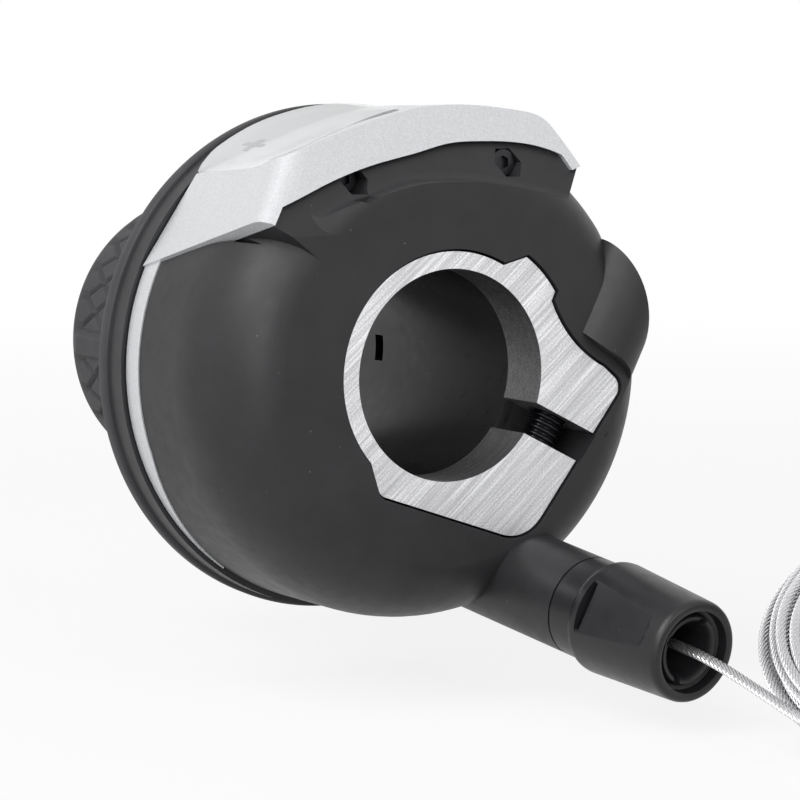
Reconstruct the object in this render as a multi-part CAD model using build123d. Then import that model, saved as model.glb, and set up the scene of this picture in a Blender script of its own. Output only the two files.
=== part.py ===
from build123d import *
import math
import os

# Twist grip shifter for the left end of a handlebar, millimetres.
# X is the handlebar axis and points inboard, Y points forward, Z points up.
# The origin is on the bar axis, at the inboard face of the clamp.

# Driving dimensions of the clamp and its bar
bar_radius = 11.1
clamp_thickness = 6.5
clamp_ring_radius = 12.9
clamp_tab_radius = 15.2
clamp_gap = 0.25
clamp_slot_width = 3.5
clamp_slot_angle = -27.0

# Driving dimensions of the housing
face_x = 0.4
face_radius = 20.0
drum_radius = 26.6
shoulder_length = 11.2
housing_back_x = -21.8
web_thickness = 2.5
flange_room_radius = drum_radius - 2.2
spool_room_radius = flange_room_radius - 2.8
flange_room_x = -17.6

# Driving dimensions of the screw and its tunnel
screw_x = -3.6
screw_reach = 15.2
screw_angle = 63.0
screw_radius = 2.0
screw_head_radius = 3.5
screw_head_height = 4.0
screw_seat = 8.6
screw_tip = -11.0
tunnel_radius = 4.85
tunnel_proud = 2.0
tunnel_reach = screw_reach + 1.3
boss_radius = 24.1
boss_rim = 1.3

# Driving dimensions of the grip
hub_gap = 0.07
hub_radius = 14.3
band_radius = 27.2
band_x = -24.7
lip_radius = 27.7
lip_x = -26.3
grip_radius = 16.0
grip_end_x = -58.5
rib_count = 6
rib_width = 2.2
rib_height = 0.5
click_angle = 19.0
rest_click_angle = 126.5

# Driving dimensions of the cable and the barrel adjuster
cable_radius = 0.55
spool_radius = 19.0
spool_x = -15.0
barrel_mouth = Vector(25.0, 13.3, -26.5)
barrel_direction = Vector(1.0, 0.106, -0.147).normalized()
barrel_length = 16.9
arm_radius = 5.35
arm_length = 24.0
socket_radius = 2.6
socket_depth = 8.0
core_radius = 3.7
thread_radius = 3.0

# Driving dimensions of the cover
cover_thickness = 1.3
base_lap = 0.35
front_tilt = Vector(0.8, 0.0, 0.6)
front_point = Vector(-5.0, 0.0, drum_radius - 3.6)
wall_setback = 0.5
shelf_radius = 2.2
side_band_x = -19.0
side_band_radius = drum_radius + 0.15
crease_radius = 3.0
window_corner = 2.5

# Driving dimensions of the coiled cable
coil_centre = Vector(46.7, 35.4, -22.4)
coil_normal = Vector(0.275, -0.348, 0.896).normalized()
coil_radius = 22.0
coil_bundle_radius = 2.6


def on_circle(radius, degrees):
    angle = math.radians(degrees)
    return (radius * math.cos(angle), radius * math.sin(angle))


def over_drum(points):
    """Y and Z of points given as (angle, height over the drum)."""
    return [on_circle(drum_radius + height, angle) for angle, height in points]


def across(x):
    """Plane square to the bar at x, with Y to the right and Z up."""
    return Plane(origin=(x, 0, 0), x_dir=(0, 1, 0), z_dir=(1, 0, 0))


def prism(sketch, x_low, x_high):
    """Sketch drawn in Y and Z, made solid from x_low to x_high."""
    return extrude(across(x_low) * sketch, amount=x_high - x_low)


def turned(points):
    """Solid turned about the bar axis from corners given as (x, radius)."""
    return revolve(make_face(Polyline(*points, close=True)), axis=Axis.X)


def tube(x_low, x_high, inner, outer):
    return turned([(x_low, inner), (x_high, inner), (x_high, outer), (x_low, outer)])


def rod(start, direction, radius, length):
    """Cylinder from a start point along a direction."""
    return extrude(Plane(origin=start, z_dir=direction) * Circle(radius), amount=length)


def one(shape):
    """Largest solid of a result, so that no sliver is written."""
    return max(shape.solids(), key=lambda solid: solid.volume)


def half_space(point, normal):
    """Block that fills the side of a plane that its normal points to."""
    return extrude(Plane(origin=point, x_dir=(0, 1, 0), z_dir=normal) * Rectangle(140, 140), amount=80)


# Screw axis, through the middle of the clamp's slot
screw_centre = Vector(screw_x, *on_circle(screw_reach, clamp_slot_angle))
screw_direction = Vector(0, *on_circle(1.0, screw_angle))


def along_screw(distance):
    return screw_centre + screw_direction * distance


# Clamp

def clamp_outline():
    """Ring with a key tab at the top and two ears at the front."""
    tab_start = on_circle(clamp_ring_radius, 60.7)
    ring_end = on_circle(clamp_ring_radius, 221.5)
    tab_top = (9.2, 12.0)
    tab_middle = on_circle(clamp_tab_radius, 41.5)
    tab_low = on_circle(clamp_tab_radius, 32.8)
    ear_root = (12.35, 7.3)
    ear_top = (19.0, 0.0)
    ear_corner = (21.45, -2.1)
    low_corner = (9.2, -18.1)
    heel_corner = (-8.6, -12.0)
    edges = [
        Line(tab_start, tab_top),
        ThreePointArc(tab_top, tab_middle, tab_low),
        Line(tab_low, ear_root),
        ThreePointArc(ear_root, (14.85, 3.2), ear_top),
        Line(ear_top, ear_corner),
        Line(ear_corner, low_corner),
        Line(low_corner, heel_corner),
        Line(heel_corner, ring_end),
        ThreePointArc(ring_end, on_circle(clamp_ring_radius, 141.0), tab_start),
    ]
    face = make_face(Curve() + edges)
    for corner, radius in ((ear_corner, 1.5), (low_corner, 4.3), (heel_corner, 1.2)):
        near = face.vertices().sort_by_distance((corner[0], corner[1], 0))[0]
        face = fillet(near, radius)
    return face


clamp_face = clamp_outline()


def make_clamp():
    body = prism(clamp_face, -clamp_thickness, 0)
    body -= rod((1, 0, 0), (-1, 0, 0), bar_radius, clamp_thickness + 2)
    slot_middle = on_circle(screw_reach + 1, clamp_slot_angle)
    slot = Pos(*slot_middle) * Rot(0, 0, clamp_slot_angle) * Rectangle(13, clamp_slot_width)
    body -= prism(slot, -clamp_thickness - 1, 1)
    body -= rod(along_screw(0), screw_direction, screw_radius + 0.2, screw_seat + 1)
    body -= rod(along_screw(screw_seat), screw_direction, screw_head_radius, 6)
    body -= rod(along_screw(0), screw_direction * -1, screw_radius, 14)
    return body


def make_clamp_screw():
    body = rod(along_screw(screw_tip), screw_direction, screw_radius, screw_seat - screw_tip)
    body += rod(along_screw(screw_seat), screw_direction, screw_head_radius, screw_head_height)
    top = along_screw(screw_seat + screw_head_height)
    socket = Plane(origin=top, z_dir=screw_direction * -1) * RegularPolygon(1.73, 6)
    return body - extrude(socket, amount=2.2)


# Cover and the bay under it

# Outline of the cover as (angle, height over the drum), at x -4 and at the housing's back
cover_front = [
    (144.51, 0.79), (125.82, 1.76), (110.11, 0.45), (94.41, 0.68), (83.47, 1.53),
    (72.43, 2.56), (62.76, 3.99), (58.82, 4.49), (56.1, 3.88), (49.12, 1.44),
]
cover_back = [
    (155.99, 0.44), (131.75, 0.88), (113.67, -0.94), (95.23, -0.29), (83.31, 0.89),
    (72.13, 2.08), (64.57, 2.74), (60.3, 2.87), (57.68, 2.39), (48.91, 1.4),
]
cover_front_x = -4.0
wing_foot = (48.91, -3.78)
window_tilt = 18.7
window_shift = 0.5
window_width = 17.6
window_length = 11.4
window_x = -15.5
window_low = drum_radius - 6.6
window_high = drum_radius + 5.4


def cover_section(x, inset):
    """Cover outline at x, moved inwards by inset, as a list of Y and Z points."""
    share = (cover_front_x - x) / (cover_front_x - housing_back_x)
    points = [
        Vector(a[0] + (b[0] - a[0]) * share, a[1] + (b[1] - a[1]) * share)
        for a, b in zip(over_drum(cover_front), over_drum(cover_back))
    ]
    moved = []
    for index, point in enumerate(points):
        before = points[max(index - 1, 0)]
        after = points[min(index + 1, len(points) - 1)]
        turns = []
        if before != point:
            turns.append((point - before).normalized())
        if after != point:
            turns.append((after - point).normalized())
        normals = [Vector(turn.Y, -turn.X) for turn in turns]
        mean = sum(normals[1:], normals[0]).normalized()
        moved.append(point + mean * (inset / mean.dot(normals[0])))
    return moved


def cover_path(points):
    """Straight side, smooth top and straight wing, as three edges."""
    return [Line(points[0], points[1]), Spline(*points[1:-1]), Line(points[-2], points[-1])]


def cover_band(outer_inset, inner_inset, x_low=housing_back_x, x_high=1.0):
    """Arch between two insets of the cover outline."""
    sections = []
    for x in (x_low, x_high):
        outer = cover_section(x, outer_inset)
        inner = cover_section(x, inner_inset)
        edges = cover_path(outer) + cover_path(inner)
        edges += [Line(outer[0], inner[0]), Line(outer[-1], inner[-1])]
        sections.append(across(x) * make_face(Curve() + edges))
    return loft(sections, ruled=True)


def cover_arch(inset, x_low=housing_back_x, x_high=1.0):
    """Solid arch under one inset of the cover outline, down to the wing's foot."""
    sections = []
    for x in (x_low, x_high):
        points = cover_section(x, inset)
        rim = cover_section(x, 0)[-1]
        low = [Vector(*over_drum([wing_foot])[0]), Vector(10, 8), Vector(-10, 8)]
        if inset > 0:
            low.insert(0, rim)
        edges = cover_path(points)
        chain = [points[-1]] + low + [points[0]]
        edges += [Line(a, b) for a, b in zip(chain, chain[1:])]
        sections.append(across(x) * make_face(Curve() + edges))
    return loft(sections, ruled=True)


def crown_cutter():
    """Everything above the middle of the cover, so that no part of the drum stands over it."""
    sections = []
    for x in (housing_back_x - 0.5, 1.5):
        points = cover_section(x, cover_thickness / 2)
        rim = cover_section(x, 0)
        far = [rim[-1], rim[-1] * 1.6, Vector(0, 2 * drum_radius), rim[0] * 1.6, rim[0]]
        chain = [points[-1]] + far + [points[0]]
        edges = cover_path(points) + [Line(a, b) for a, b in zip(chain, chain[1:])]
        sections.append(across(x) * make_face(Curve() + edges))
    return loft(sections, ruled=True)


def in_window(sketch, low, high):
    """Sketch drawn along X and across the window, between two depths from the bar axis."""
    normal = Vector(0, *on_circle(1.0, 90 + window_tilt))
    across_window = Vector(0, *on_circle(1.0, window_tilt))
    start = normal * low + across_window * window_shift + Vector(window_x, 0, 0)
    frame = Plane(origin=start, x_dir=(-1, 0, 0), z_dir=normal)
    return extrude(frame * sketch, amount=high - low)


front_lower_edge = [
    (142.46, 0.64), (137.01, -0.35), (133.41, -1.13), (125.78, -2.32), (117.44, -3.16),
    (104.22, -3.8), (92.24, -3.58), (83.05, -2.62), (72.86, -1.49), (64.21, -0.17),
    (57.82, 0.81), (48.47, 1.45),
]
front_plane_normal = front_tilt.normalized()


def behind_front(setback):
    """Point on the plane that lies a setback behind the cover's front face."""
    return front_point - front_plane_normal * setback


def everything_above(line):
    """Face in Y and Z from a line of points up past the top of the part."""
    far = 1.15 * drum_radius
    top = 1.5 * drum_radius
    first, last = line[0], line[-1]
    corners = [last, (far, last[1]), (far, top), (-far, top), (-far, first[1]), first]
    edges = [Line(a, b) for a, b in zip(corners, corners[1:])]
    return make_face(Curve() + [Spline(*line)] + edges)


def make_top_cover():
    shell = cover_band(0, cover_thickness)
    visor = cover_arch(0) & prism(everything_above(over_drum(front_lower_edge)), -14, 3)
    visor -= half_space(behind_front(cover_thickness), front_plane_normal * -1)
    cover = shell + visor
    cover -= half_space(front_point, front_plane_normal)
    cover = one(cover)
    crease = [
        edge for edge in cover.edges()
        if (edge @ 0.5 - front_point).dot(front_plane_normal) > -0.01
        and (edge @ 0.5).Y < over_drum(cover_front)[1][0] and edge.length > 5
    ]
    cover = fillet(crease[0], crease_radius) if crease else cover
    cover -= in_window(RectangleRounded(window_length, window_width, window_corner), window_low, window_high)
    return one(cover + make_side_band())


def make_side_band():
    """Band that runs down the rider's side and ends in a point."""
    start = 151.0
    taper = 200.0
    tip = 235.0
    band = tube(housing_back_x, side_band_x, side_band_radius - 1.0, side_band_radius)
    corners = [(0, 0), on_circle(40, start), on_circle(48, 193), on_circle(40, tip)]
    band &= prism(make_face(Polyline(*corners, close=True)), -30, 0)
    middle = (taper + tip) / 2
    run = 2 * side_band_radius * math.sin(math.radians((tip - taper) / 2))
    width = side_band_x - housing_back_x
    outward = Vector(0, *on_circle(1.0, middle))
    along = Vector(0, *on_circle(1.0, middle + 90))
    origin = Vector(side_band_x, 0, 0) + outward * 20 - along * (run / 2)
    wedge = Polyline((0, 0), (run, -width), (run + 5, -width), (run + 5, 10), (0, 10), close=True)
    cutter = Plane(origin=origin, x_dir=along, z_dir=outward) * make_face(wedge)
    return one(band - extrude(cutter, amount=12))


def make_window_lens():
    blank = cover_band(0, cover_thickness)
    return blank & in_window(RectangleRounded(window_length, window_width, window_corner), window_low, window_high)


scale_high = drum_radius - 2.7
scale_low = scale_high - 0.5
bay_low = scale_low - 1.1
ledge = 0.8


def make_gear_scale():
    plate = in_window(Rectangle(window_length - 1.0, window_width - 1.2), scale_low, scale_high)
    slot_x = 4.3
    slot = Pos(slot_x, 0) * SlotOverall(15.4, 1.5, rotation=90)
    return plate - in_window(slot, scale_low - 1, scale_high + 1)


# Cover screws, along X through the housing's front wall
cover_screw_places = [
    (115.26, -4.1), (65.7, -2.79),
]
cover_screw_radius = 0.8
cover_screw_head_radius = 1.4
cover_screw_head_x = -6.6
driver_hole_radius = 1.7
driver_groove_radius = 1.2
driver_groove_length = 4.6


def make_cover_screws():
    group = []
    for y, z in over_drum(cover_screw_places):
        shank = rod((cover_screw_head_x, y, z), (-1, 0, 0), cover_screw_radius, 3.4)
        head = rod((cover_screw_head_x, y, z), (1, 0, 0), cover_screw_head_radius, 1.0)
        socket_plane = Plane(origin=(cover_screw_head_x + 1.0, y, z), z_dir=(-1, 0, 0))
        socket = extrude(socket_plane * RegularPolygon(0.75, 6), amount=0.6)
        group.append(shank + head - socket)
    return Compound(children=[one(item) for item in group])


# Cable route inside the shifter

def barrel_point(distance):
    """Point on the barrel's axis, at a distance inwards from its mouth."""
    return barrel_mouth - barrel_direction * distance


cable_turn_radius = 6.0
corner = barrel_point((barrel_mouth.X - spool_x) / barrel_direction.X)
corner_reach = math.hypot(corner.Y, corner.Z)
corner_angle = math.degrees(math.atan2(corner.Z, corner.Y))
leave_angle = corner_angle - math.degrees(math.acos(spool_radius / corner_reach))
leave_point = Vector(spool_x, *on_circle(spool_radius, leave_angle))
wrap_angle = 58.0
head_length = 4.0
head_radius = 2.0
inner_end = barrel_point(socket_depth)


def swept(path, radius):
    start = path @ 0
    return sweep(Plane(origin=start, z_dir=path % 0) * Circle(radius), path=path)


def route():
    """Cable route from the spool to the inner end of the barrel's socket."""
    return FilletPolyline(leave_point, corner, inner_end, radius=cable_turn_radius)


def make_inner_cable():
    return swept(route(), cable_radius)


def make_spool_cable():
    ring = Pos(spool_x, spool_radius, 0) * Circle(cable_radius)
    arc = revolve(ring, axis=Axis.X, revolution_arc=wrap_angle)
    return Rot(leave_angle - wrap_angle, 0, 0) * arc


head_angle = leave_angle - wrap_angle
head_point = Vector(spool_x, *on_circle(spool_radius, head_angle))
head_direction = Vector(0, *on_circle(1.0, head_angle - 90))


def make_cable_head():
    return rod(head_point, head_direction, head_radius, head_length)


guide_outer = 1.1
guide_inner = 0.72


def guide_path():
    first = (corner - leave_point).normalized()
    start = leave_point + first * 6.2
    end = corner + barrel_direction * 8.0
    return FilletPolyline(start, corner, end, radius=cable_turn_radius)


def make_cable_guide():
    path = guide_path()
    return swept(path, guide_outer) - swept(path, guide_inner)


# Housing

def dome(top_radius, front, length):
    """Body turned about the bar, flat in front with a long rounded shoulder."""
    shoulder = EllipticalCenterArc(
        (front - length, face_radius), length, top_radius - face_radius, 0, arc_size=90
    )
    edges = [
        Line((housing_back_x, 0), (front, 0)),
        Line((front, 0), (front, face_radius)),
        shoulder,
        Line((front - length, top_radius), (housing_back_x, top_radius)),
        Line((housing_back_x, top_radius), (housing_back_x, 0)),
    ]

    # The seam goes to the top, where the cover's cut takes it away
    return Rot(90, 0, 0) * revolve(make_face(Curve() + edges), axis=Axis.X)


rim_line = [
    (154.52, -0.57), (146.44, -2.36), (135.0, -3.83), (124.86, -4.91), (114.83, -5.88),
    (103.08, -6.27), (90.0, -6.5), (78.91, -6.32), (58.05, -4.68), (49.88, -3.32),
    (39.72, -1.25),
]


def shelf_cutter():
    """Room in front of the cover's wall, above the rim, with a hollow corner."""
    block = prism(everything_above(over_drum(rim_line)), -16, 3)
    block -= half_space(behind_front(wall_setback), front_plane_normal * -1)
    block = one(block)
    foot = max(
        (edge for edge in block.edges()
         if abs((edge @ 0.5 - behind_front(wall_setback)).dot(front_plane_normal)) < 0.01
         and (edge @ 0.5).Z < front_point.Z),
        key=lambda edge: edge.length,
    )
    return fillet(foot, shelf_radius)


# Side groove: x, depth under the drum, and upper, deepest and lower angle
groove_line = [
    (0.6, 2.2, 140.2, 144.6, 150.2), (-7.0, 1.3, 143.6, 146.4, 149.0),
    (-13.0, 0.8, 147.2, 149.2, 150.8), (-18.0, 0.2, 152.6, 153.4, 154.2),
]


def side_groove():
    """Groove along the cover's lower edge, which runs out towards the back."""
    outside = drum_radius + 2.5
    faces = []
    for x, depth, upper, middle, lower in groove_line:
        points = [
            on_circle(drum_radius - depth, middle), on_circle(outside, upper), on_circle(outside, lower)
        ]
        faces.append(across(x) * make_face(Polyline(*points, close=True)))
    return loft(faces, ruled=True)


def make_housing(cover, lens):
    body = dome(drum_radius, face_x, shoulder_length)
    base = cover_arch(cover_thickness - base_lap, x_high=face_x)
    base -= half_space(behind_front(wall_setback), front_plane_normal)
    body += base
    body -= shelf_cutter()
    body -= side_groove()
    body -= crown_cutter()
    body -= cover
    body -= lens
    arm_start = barrel_point(barrel_length + arm_length)
    body += rod(arm_start, barrel_direction, arm_radius, arm_length)
    body += Pos(*arm_start) * Sphere(arm_radius)
    tunnel_x = face_x + tunnel_proud - tunnel_radius
    tunnel_axis = Vector(tunnel_x, *on_circle(tunnel_reach, clamp_slot_angle))
    tunnel = rod(tunnel_axis + screw_direction * 2, screw_direction, tunnel_radius, 30)
    tunnel &= rod((housing_back_x, 0, 0), (1, 0, 0), boss_radius, 40)
    body += tunnel - prism(offset(clamp_face, boss_rim), face_x, face_x + 5)
    for y, z in over_drum(cover_screw_places):
        body -= prism(Pos(y, z) * RegularPolygon(driver_hole_radius, 6), cover_screw_head_x, 3)
        body -= rod((3, y - 0.4, z - 1.1), (-1, 0, 0), driver_groove_radius, driver_groove_length)
        body -= rod((3, y, z), (-1, 0, 0), cover_screw_radius, 13)

    # Pocket for the clamp, tunnel for its screw and bore for the sleeve
    body -= prism(offset(clamp_face, clamp_gap), -clamp_thickness, 3)
    body -= rod(along_screw(screw_seat - 1), screw_direction, screw_head_radius + 0.2, 30)
    body -= rod(along_screw(0), screw_direction * -1, screw_radius + 0.3, 12.6)
    body -= rod((3, 0, 0), (-1, 0, 0), sleeve_outer, 60)

    # Rooms for the spool and for the flange
    web_back = -clamp_thickness - web_thickness
    body -= tube(flange_room_x, web_back, 10, spool_room_radius)
    body -= tube(-30, flange_room_x, 10, flange_room_radius)

    # Bay under the window, with a ledge for the gear scale
    plate = Rectangle(window_length - 1.0, window_width - 1.2)
    bay_width = window_width - 1.0 - 2 * ledge
    body -= in_window(plate, scale_low, window_high)
    bay = Rectangle(window_length - 1.0 - 2 * ledge, bay_width)
    body -= in_window(Pos(1, 0) * bay, bay_low, scale_low + 1)
    body -= in_window(Pos(5, 0) * Rectangle(window_length, bay_width), bay_low, scale_low)

    # Arm: thread for the adjuster, channel for the cable and its guide
    body -= rod(barrel_point(barrel_length - 1), barrel_direction * -1, thread_radius + 0.06, 11)
    body -= swept(guide_path(), guide_outer)
    body -= swept(route(), guide_inner + 0.1)

    return one(body)


# Sleeve, clip and grip

sleeve_inner = bar_radius + 0.25
sleeve_outer = sleeve_inner + 1.2
sleeve_end_x = -38.0
clip_x = sleeve_end_x + 1.8
clip_width = 1.0
clip_radius = 13.3
clip_seat_radius = sleeve_outer - 0.4


def make_bar_sleeve():
    web_back = -clamp_thickness - web_thickness
    body = tube(sleeve_end_x, -clamp_thickness, sleeve_inner, sleeve_outer)
    body += tube(web_back - 1.0, web_back, sleeve_inner, 14.6)
    body -= tube(clip_x, clip_x + clip_width, clip_seat_radius, sleeve_outer + 1)
    notch = Pos(11.5, -0.25) * Rectangle(6, 2.9)
    return one(body - prism(notch, -34.9, -33.2))


def make_retaining_clip():
    ring = tube(clip_x, clip_x + clip_width, clip_seat_radius, clip_radius)
    gap = Pos(-15, 0) * Rectangle(16, 11)
    return one(ring - prism(gap, -40, -30))


detent_angle = 200.0
detent_ring_radius = flange_room_radius - 2.4
detent_ring_inner = detent_ring_radius - 3.0
detent_ring_x = -20.4
flange_front_x = -22.1


def make_grip_core(spool_cable, cable_head):
    bore = sleeve_outer + hub_gap
    end_x = grip_end_x + 0.8
    body = tube(end_x, -10.3, bore, hub_radius)
    body -= tube(clip_x - 0.3, clip_x + clip_width + 0.3, bore - 1, clip_radius + 0.1)
    body += tube(end_x, sleeve_end_x - 0.3, sleeve_inner + 0.3, hub_radius)
    body += tube(band_x, flange_front_x, hub_radius - 0.5, band_radius)
    web_front = -18.6
    body += tube(flange_front_x, detent_ring_x, hub_radius - 0.5, detent_ring_inner)
    body += tube(detent_ring_x, web_front, hub_radius - 0.5, 18.7)
    body += tube(web_front, -12.9, 15.9, 18.7)
    groove = Pos(spool_x, spool_radius, 0) * Circle(cable_radius + 0.07)
    body -= revolve(groove, axis=Axis.X)
    body -= spool_cable
    body -= cable_head
    return one(body)


def make_detent_ring():
    ring = tube(flange_front_x, detent_ring_x, detent_ring_inner, detent_ring_radius)
    for click in range(3):
        place = on_circle(detent_ring_radius + 0.3, detent_angle + click * click_angle)
        ring -= prism(Pos(*place) * Circle(0.95), -23, -20)
    return one(ring)


def make_detent_spring():
    """Leaf that arches from the housing wall and dips into the ring's first notch."""
    wall = flange_room_radius - 0.15
    ends = 17.0
    points = [
        on_circle(wall, detent_angle - ends),
        on_circle(wall, detent_angle - ends + 6),
        on_circle(detent_ring_radius + 0.75, detent_angle - 4.0),
        on_circle(detent_ring_radius + 0.65, detent_angle - 2.4),
        on_circle(detent_ring_radius + 0.05, detent_angle),
        on_circle(detent_ring_radius + 0.65, detent_angle + 2.4),
        on_circle(detent_ring_radius + 0.75, detent_angle + 4.0),
        on_circle(wall, detent_angle + ends - 6),
        on_circle(wall, detent_angle + ends),
    ]
    leaf = trace(Polyline(*points), 0.3)
    return prism(leaf, -21.9, -20.6) & tube(-23, -19, 15, flange_room_radius)


def make_indicator():
    """Pointer on the flange, seen through the slot of the gear scale."""
    body = tube(flange_front_x, -18.7, detent_ring_radius + 0.2, detent_ring_radius + 1.1)
    half = 1.7
    sector = Polyline((0, 0), on_circle(40, rest_click_angle - half),
                      on_circle(40, rest_click_angle + half), close=True)
    return body & prism(make_face(sector), -30, -10)


def make_rubber_grip():
    body_points = [
        (band_x, hub_radius), (grip_end_x + 0.8, hub_radius), (grip_end_x + 0.8, 12.4),
        (grip_end_x, 12.4),
    ]
    edges = [Line(a, b) for a, b in zip(body_points, body_points[1:])]
    edges += [
        Line((grip_end_x, 12.4), (grip_end_x, grip_radius - 1.6)),
        RadiusArc((grip_end_x, grip_radius - 1.6), (grip_end_x + 1.6, grip_radius), 1.6),
        Line((grip_end_x + 1.6, grip_radius), (-31.0, grip_radius)),
        RadiusArc((-31.0, grip_radius), (-27.4, 19.6), -3.6),
        Line((-27.4, 19.6), (-27.0, lip_radius - 0.9)),
        Line((-27.0, lip_radius - 0.9), (lip_x, lip_radius)),
        Line((lip_x, lip_radius), (-25.0, lip_radius)),
        Line((-25.0, lip_radius), (-25.0, lip_radius - 0.9)),
        Line((-25.0, lip_radius - 0.9), (band_x, lip_radius - 0.9)),
        Line((band_x, lip_radius - 0.9), (band_x, hub_radius)),
    ]
    body = revolve(make_face(Curve() + edges), axis=Axis.X)
    for index in range(rib_count):
        angle = 1.0 + index * 360 / rib_count
        rib = prism(Pos(grip_radius - 0.5, 0) * Rectangle(2 * rib_height + 1.0, rib_width),
                    grip_end_x + 2.2, -30.0)
        body += Rot(angle, 0, 0) * rib
    return one(body)


# Barrel adjuster

def on_barrel(points):
    """Solid turned about the barrel's axis from corners (distance out of the arm, radius)."""
    side = barrel_direction.cross(Vector(0, 0, 1))
    frame = Plane(origin=barrel_point(barrel_length), x_dir=barrel_direction, z_dir=side)
    face = frame * make_face(Polyline(*points, close=True))
    return revolve(face, axis=Axis(barrel_point(barrel_length), barrel_direction))


barrel_gap = 0.15
core_end = barrel_length - 0.7
socket_start = barrel_length - socket_depth
spring_room = 4.2


def make_barrel_core():
    core = on_barrel([
        (-9, 0.9), (socket_start, 0.9), (socket_start, socket_radius), (core_end, socket_radius),
        (core_end, core_radius), (0.5, core_radius), (0.5, thread_radius), (-9, thread_radius),
    ])
    for angle in (20, 140, 260):
        frame = Plane(origin=barrel_point(2.2), x_dir=(0, 1, 0), z_dir=barrel_direction)
        notch = Rot(0, 0, angle) * Pos(socket_radius + 0.2, 0) * Rectangle(1.0, 1.1)
        core -= extrude(frame * notch, amount=3)
    return one(core)


def make_barrel_sleeve():
    end = barrel_length
    sleeve = on_barrel([
        (barrel_gap, core_radius + 0.9), (spring_room, core_radius + 0.9),
        (spring_room, core_radius), (end - 1.2, core_radius), (end - 1.0, core_radius + 0.3),
        (end, core_radius + 0.45), (end, 4.75), (end - 0.3, 5.05), (end - 1.0, 5.3),
        (1.4, 6.05), (barrel_gap, 5.65),
    ])
    for angle in (100, 220, 340):
        frame = Plane(origin=barrel_point(barrel_length - 1.7), x_dir=(0, 1, 0),
                      z_dir=barrel_direction)
        panel = Rot(0, 0, angle) * Pos(7.2, 0) * Rectangle(4.0, 5.6)
        cutter = extrude(frame * panel, amount=8.6)
        sleeve -= cutter
    return one(sleeve)


def make_barrel_spring():
    pitch = 1.3
    height = spring_room - 0.9
    mean = core_radius + 0.42
    helix = Helix(pitch=pitch, height=height, radius=mean,
                  center=barrel_point(barrel_length - 0.3), direction=barrel_direction)
    wire = Plane(origin=helix @ 0, z_dir=helix % 0) * Rectangle(0.42, 0.42)
    return sweep(wire, path=helix, is_frenet=True)


# Free cable: straight lead out of the barrel, then the coil

def coil_frame():
    return Plane(origin=coil_centre, z_dir=coil_normal)


def lead_touch():
    """Point where the lead runs onto the coil, and its direction there."""
    away = inner_end - coil_centre
    flat = away - coil_normal * away.dot(coil_normal)
    reach = flat.length
    outermost = coil_radius + coil_bundle_radius - cable_radius
    turn = math.degrees(math.acos(outermost / reach))
    spoke = flat.normalized() * outermost
    touch = coil_centre + spoke.rotate(Axis((0, 0, 0), coil_normal), turn)
    return touch


def lead_points():
    touch = lead_touch()
    run = touch - inner_end
    first = inner_end + barrel_direction * 9.0
    last = touch - run.normalized() * 6.0
    return [inner_end, first, last, touch]


def make_cable_lead():
    points = lead_points()
    radii = []
    for before, point, after in zip(points, points[1:], points[2:]):
        turn = math.radians((point - before).get_angle(after - point))
        shorter = min((point - before).length, (after - point).length)
        radii.append(0.45 * shorter / math.tan(turn / 2))
    print("lead radii", [round(value, 1) for value in radii])
    path = FilletPolyline(*points, radius=radii)
    print("lead length", round(path.length, 2))
    return swept(path, cable_radius)


def make_cable_coil():
    frame = coil_frame()
    start = frame.origin + frame.x_dir * coil_radius
    ring = Plane(origin=start, z_dir=frame.y_dir) * Circle(coil_bundle_radius)
    return revolve(ring, axis=Axis(coil_centre, coil_normal))


def main():
    os.makedirs("parts", exist_ok=True)
    cover = make_top_cover()
    lens = make_window_lens()
    scale = make_gear_scale()
    spool_cable = make_spool_cable()
    cable_head = make_cable_head()
    parts = {
        "housing": make_housing(cover, lens),
        "clamp": make_clamp(),
        "clamp_screw": make_clamp_screw(),
        "top_cover": cover,
        "window_lens": lens,
        "gear_scale": scale,
        "cover_screws": make_cover_screws(),
        "bar_sleeve": make_bar_sleeve(),
        "retaining_clip": make_retaining_clip(),
        "detent_spring": make_detent_spring(),
        "cable_guide": make_cable_guide(),
        "inner_cable": make_inner_cable(),
        "grip_core": make_grip_core(spool_cable, cable_head),
        "rubber_grip": make_rubber_grip(),
        "detent_ring": make_detent_ring(),
        "indicator": make_indicator(),
        "spool_cable": spool_cable,
        "cable_head": cable_head,
        "barrel_core": make_barrel_core(),
        "barrel_sleeve": make_barrel_sleeve(),
        "barrel_spring": make_barrel_spring(),
        "cable_lead": make_cable_lead(),
        "cable_coil": make_cable_coil(),
    }
    for name, shape in parts.items():
        export_step(shape, "parts/" + name + ".step")


main()
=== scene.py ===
import math

import bmesh
import bpy
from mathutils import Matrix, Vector
from mathutils.bvhtree import BVHTree


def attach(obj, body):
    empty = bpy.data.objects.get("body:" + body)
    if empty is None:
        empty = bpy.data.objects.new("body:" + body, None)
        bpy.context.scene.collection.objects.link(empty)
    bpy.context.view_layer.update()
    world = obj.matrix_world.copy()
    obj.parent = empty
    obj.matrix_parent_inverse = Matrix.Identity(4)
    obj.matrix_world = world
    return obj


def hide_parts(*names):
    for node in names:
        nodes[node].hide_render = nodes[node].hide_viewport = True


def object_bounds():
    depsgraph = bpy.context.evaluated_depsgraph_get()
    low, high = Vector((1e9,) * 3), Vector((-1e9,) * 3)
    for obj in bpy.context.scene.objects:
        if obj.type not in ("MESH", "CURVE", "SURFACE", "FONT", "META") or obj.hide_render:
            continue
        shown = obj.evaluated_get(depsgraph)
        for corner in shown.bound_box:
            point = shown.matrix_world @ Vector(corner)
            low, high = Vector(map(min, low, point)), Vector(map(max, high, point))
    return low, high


# Twist grip shifter. Metres, in the CAD's own frame: X along the bar, Y forward, Z up.

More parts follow.
